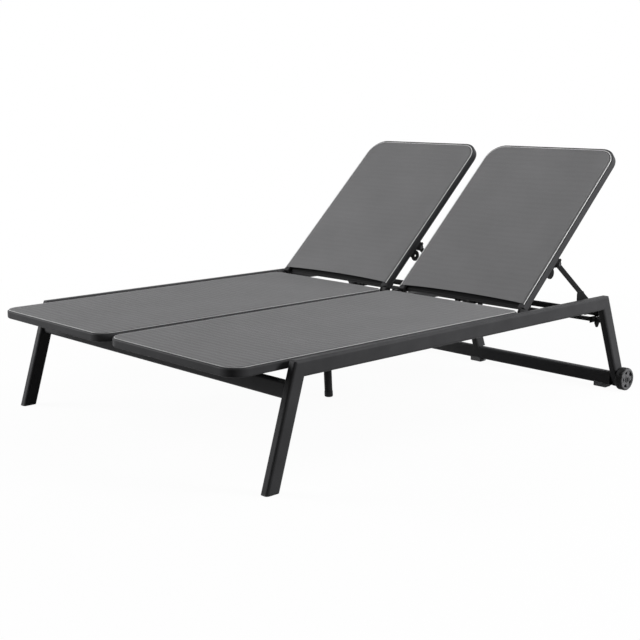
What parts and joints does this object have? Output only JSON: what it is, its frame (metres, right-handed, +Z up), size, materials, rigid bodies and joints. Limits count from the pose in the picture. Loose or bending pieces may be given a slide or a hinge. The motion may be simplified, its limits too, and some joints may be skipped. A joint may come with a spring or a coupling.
{
  "type": "double chaise lounger",
  "caption": "Double chaise lounger with slung seats, reclining slung backs on folding stays, and wheels at the head end.",
  "frame": {"origin": "on the floor under the middle of the lounger", "axes": "+X to the right seen from the foot end, +Y towards the head end, +Z up"},
  "size_m": [1.3766, 1.8137, 0.8605],
  "materials": {
    "frame_metal": "satin",
    "sling_fabric": "matte",
    "black_plastic": "matte",
    "clip_plastic": "matte",
    "wheel_hub": "matte",
    "wheel_tyre": "matte",
    "steel_fixings": "satin"
  },
  "bodies": {
    "frame": {"beam_caps": "black_plastic", "beam_ears": "frame_metal", "centre_beam": "frame_metal", "centre_leg": "frame_metal", "centre_leg_cap": "black_plastic", "centre_rear_post": "frame_metal", "floor_bar_clips": "clip_plastic", "front_crossbar": "frame_metal", "front_leg_caps": "black_plastic", "hinge_bosses": "black_plastic", "hinge_pins": "steel_fixings", "left_front_leg": "frame_metal", "left_rear_leg": "frame_metal", "left_recline_racks": "frame_metal", "left_seat_crossbars": "frame_metal", "left_seat_frame": "frame_metal", "left_seat_sling": "sling_fabric", "left_side_rail": "frame_metal", "left_upper_rear_bar": "frame_metal", "rack_bolts": "steel_fixings", "rear_floor_bar": "frame_metal", "rear_leg_caps": "black_plastic", "rest_catches": "frame_metal", "right_front_leg": "frame_metal", "right_rear_leg": "frame_metal", "right_recline_racks": "frame_metal", "right_seat_crossbars": "frame_metal", "right_seat_frame": "frame_metal", "right_seat_sling": "sling_fabric", "right_side_rail": "frame_metal", "right_upper_rear_bar": "frame_metal", "seat_brackets": "frame_metal", "seat_screws": "steel_fixings", "wheel_axles": "steel_fixings"},
    "left_back": {"left_back_crossbars": "frame_metal", "left_back_end_caps": "black_plastic", "left_back_frame": "frame_metal", "left_back_sling": "sling_fabric", "left_hinge_arms": "frame_metal", "left_stay_ears": "frame_metal", "left_stay_pins": "steel_fixings"},
    "right_back": {"right_back_crossbars": "frame_metal", "right_back_end_caps": "black_plastic", "right_back_frame": "frame_metal", "right_back_sling": "sling_fabric", "right_hinge_arms": "frame_metal", "right_stay_ears": "frame_metal", "right_stay_pins": "steel_fixings"},
    "left_stay": {"left_stay_arms": "frame_metal", "left_stay_foot_caps": "black_plastic", "left_stay_foot_tube": "frame_metal"},
    "right_stay": {"right_stay_arms": "frame_metal", "right_stay_foot_caps": "black_plastic", "right_stay_foot_tube": "frame_metal"},
    "left_wheel": {"left_wheel_hub": "wheel_hub", "left_wheel_tyre": "wheel_tyre"},
    "right_wheel": {"right_wheel_hub": "wheel_hub", "right_wheel_tyre": "wheel_tyre"}
  },
  "joints": [
    {"name": "left_back_recline", "type": "hinge", "parent": "frame", "child": "left_back", "pos_m": [0, 0.3393, 0.342], "axis": [1, 0, 0], "range_deg": [-43.4, 31.6]},
    {"name": "left_stay_swing", "type": "hinge", "parent": "left_back", "child": "left_stay", "pos_m": [0, 0.54835, 0.48188], "axis": [1, 0, 0], "range_deg": [-58.3, 79.88]},
    {"name": "left_wheel_spin", "type": "hinge", "parent": "frame", "child": "left_wheel", "pos_m": [0, 0.8625, 0.042], "axis": [1, 0, 0], "continuous": true},
    {"name": "right_back_recline", "type": "hinge", "parent": "frame", "child": "right_back", "pos_m": [0, 0.3393, 0.342], "axis": [1, 0, 0], "range_deg": [-43.4, 31.6]},
    {"name": "right_stay_swing", "type": "hinge", "parent": "right_back", "child": "right_stay", "pos_m": [0, 0.54835, 0.48188], "axis": [1, 0, 0], "range_deg": [-58.3, 79.88]},
    {"name": "right_wheel_spin", "type": "hinge", "parent": "frame", "child": "right_wheel", "pos_m": [0, 0.8625, 0.042], "axis": [1, 0, 0], "continuous": true}
  ],
  "couplings": [
    {"joint": "left_stay_swing", "follows": "left_back_recline", "ratio": -1.829},
    {"joint": "right_stay_swing", "follows": "right_back_recline", "ratio": -1.829}
  ]
}
